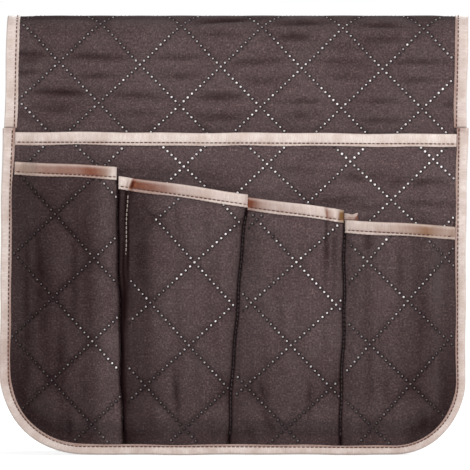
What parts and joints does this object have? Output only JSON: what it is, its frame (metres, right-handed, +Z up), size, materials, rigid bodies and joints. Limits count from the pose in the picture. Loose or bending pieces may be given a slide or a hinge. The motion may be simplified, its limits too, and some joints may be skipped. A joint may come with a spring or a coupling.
{
  "type": "sofa armrest organizer",
  "caption": "Quilted cloth organizer that drapes over a sofa arm, with a wide pocket and stepped narrow pockets on its front flap.",
  "frame": {"origin": "middle of the top panel's underside, where it rests on the sofa arm", "axes": "+X along the arm, to the right seen from the pockets; -Y out of the pocket side; +Z up"},
  "size_m": [0.3296, 0.2381, 0.3111],
  "materials": {
    "face_cloth": "brushed microfibre, dark brown",
    "lining_cloth": "plain woven lining, dark brown",
    "wadding": "soft polyester wadding, off white",
    "satin_tape": "folded satin tape, pale pinkish beige",
    "thread": "twisted sewing thread, brown"
  },
  "bodies": {
    "top": {"top_lining": "lining_cloth", "top_wadding": "wadding", "top_face": "face_cloth", "top_edge_tape_left": "satin_tape", "top_edge_stitches_left": "thread", "top_edge_tape_right": "satin_tape", "top_edge_stitches_right": "thread"},
    "front_flap": {"front_lining": "lining_cloth", "front_wadding": "wadding", "front_face": "face_cloth", "front_edge_tape_left": "satin_tape", "front_edge_stitches_left": "thread", "front_edge_tape_right": "satin_tape", "front_edge_stitches_right": "thread", "wide_pocket_lining": "lining_cloth", "wide_pocket_wadding": "wadding", "wide_pocket_face": "face_cloth", "wide_pocket_tape": "satin_tape", "wide_pocket_stitches": "thread", "pocket_1_lining": "lining_cloth", "pocket_1_wadding": "wadding", "pocket_1_face": "face_cloth", "pocket_1_tape": "satin_tape", "pocket_1_stitches": "thread", "pocket_2_lining": "lining_cloth", "pocket_2_wadding": "wadding", "pocket_2_face": "face_cloth", "pocket_2_tape": "satin_tape", "pocket_2_stitches": "thread", "pocket_3_lining": "lining_cloth", "pocket_3_wadding": "wadding", "pocket_3_face": "face_cloth", "pocket_3_tape": "satin_tape", "pocket_3_stitches": "thread", "pocket_4_lining": "lining_cloth", "pocket_4_wadding": "wadding", "pocket_4_face": "face_cloth", "pocket_4_tape": "satin_tape", "pocket_4_stitches": "thread", "divider_stitches_1": "thread", "divider_stitches_2": "thread", "divider_stitches_3": "thread", "front_hem_tape": "satin_tape", "front_hem_stitches": "thread"},
    "back_flap": {"back_lining": "lining_cloth", "back_wadding": "wadding", "back_face": "face_cloth", "back_hem_tape": "satin_tape", "back_hem_stitches": "thread"}
  },
  "joints": [
    {"name": "front_flap_lift", "type": "hinge", "parent": "top", "child": "front_flap", "pos_m": [0, -0.09716, -0.00284], "axis": [-1, 0, 0], "range_deg": [0, 90]},
    {"name": "back_flap_lift", "type": "hinge", "parent": "top", "child": "back_flap", "pos_m": [0, 0.09716, -0.00284], "axis": [1, 0, 0], "range_deg": [0, 90]}
  ]
}
